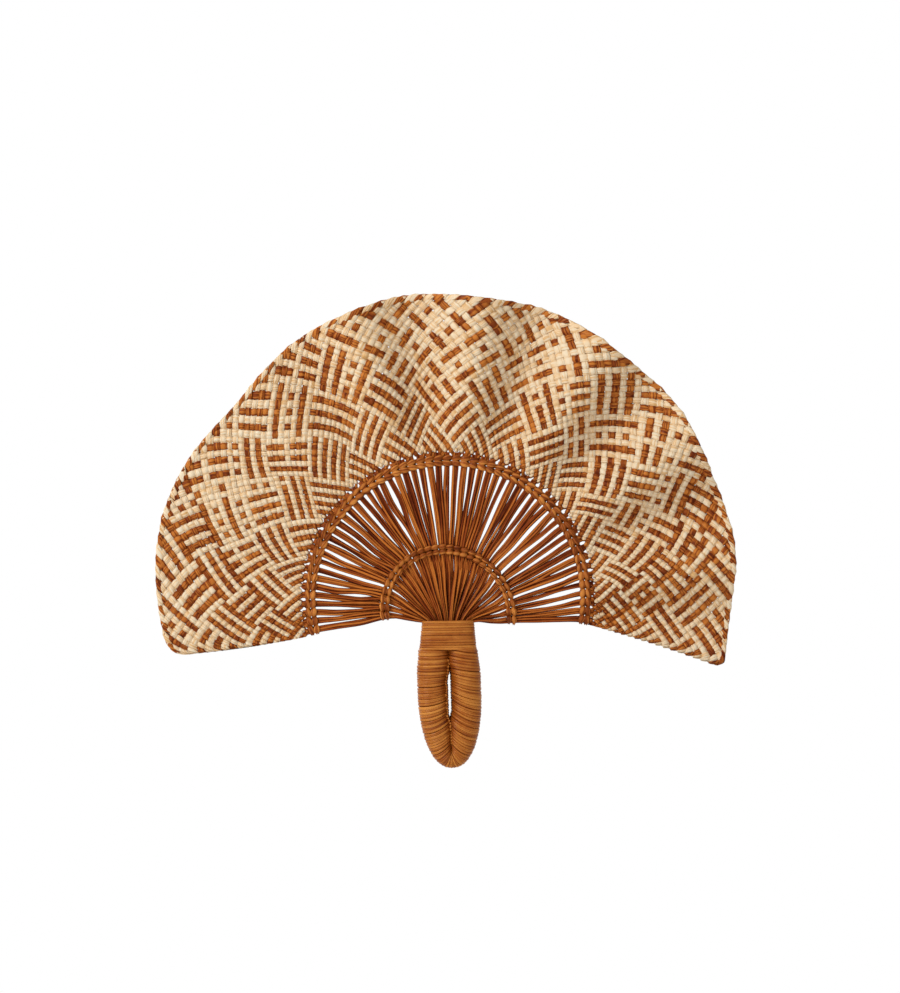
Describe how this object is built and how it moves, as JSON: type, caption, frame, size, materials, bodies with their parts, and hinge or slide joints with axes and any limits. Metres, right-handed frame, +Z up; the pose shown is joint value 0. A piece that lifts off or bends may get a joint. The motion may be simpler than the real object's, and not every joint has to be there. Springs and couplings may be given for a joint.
{
  "type": "palm leaf hand fan",
  "caption": "Half-round hand fan plaited from undyed and brown palm strips, on rays of thin ribs held by twined rings, with a bound neck and a wound loop handle.",
  "frame": {"origin": "the middle of the grip, where a hand closes round the wound loop", "axes": "+X to the right across the blade, +Y to the back, +Z up from the handle to the blade"},
  "size_m": [0.3994, 0.0204, 0.3265],
  "materials": {
    "palm_plait": "satin",
    "palm_rib": "satin",
    "palm_weft": "satin",
    "palm_bundle": "matt",
    "palm_wrap": "satin"
  },
  "bodies": {
    "root": {"woven_blade": "palm_plait", "handle_core": "palm_bundle", "handle_winding": "palm_wrap", "collar_winding": "palm_wrap", "rib_bundle_01": "palm_rib", "rib_bundle_02": "palm_rib", "rib_bundle_03": "palm_rib", "rib_bundle_04": "palm_rib", "rib_bundle_05": "palm_rib", "rib_bundle_06": "palm_rib", "rib_bundle_07": "palm_rib", "rib_bundle_08": "palm_rib", "rib_bundle_09": "palm_rib", "rib_bundle_10": "palm_rib", "rib_bundle_11": "palm_rib", "rib_bundle_12": "palm_rib", "rib_bundle_13": "palm_rib", "rib_bundle_14": "palm_rib", "rib_bundle_15": "palm_rib", "rib_bundle_16": "palm_rib", "rib_bundle_17": "palm_rib", "rib_bundle_18": "palm_rib", "rib_bundle_19": "palm_rib", "rib_bundle_20": "palm_rib", "rib_bundle_21": "palm_rib", "rib_bundle_22": "palm_rib", "rib_bundle_23": "palm_rib", "rib_bundle_24": "palm_rib", "rib_bundle_25": "palm_rib", "rib_bundle_26": "palm_rib", "rib_bundle_27": "palm_rib", "rib_bundle_28": "palm_rib", "inner_ring_weft_a": "palm_weft", "inner_ring_weft_b": "palm_weft", "outer_band_weft_1a": "palm_weft", "outer_band_weft_1b": "palm_weft", "outer_band_weft_2a": "palm_weft", "outer_band_weft_2b": "palm_weft"}
  },
  "joints": []
}
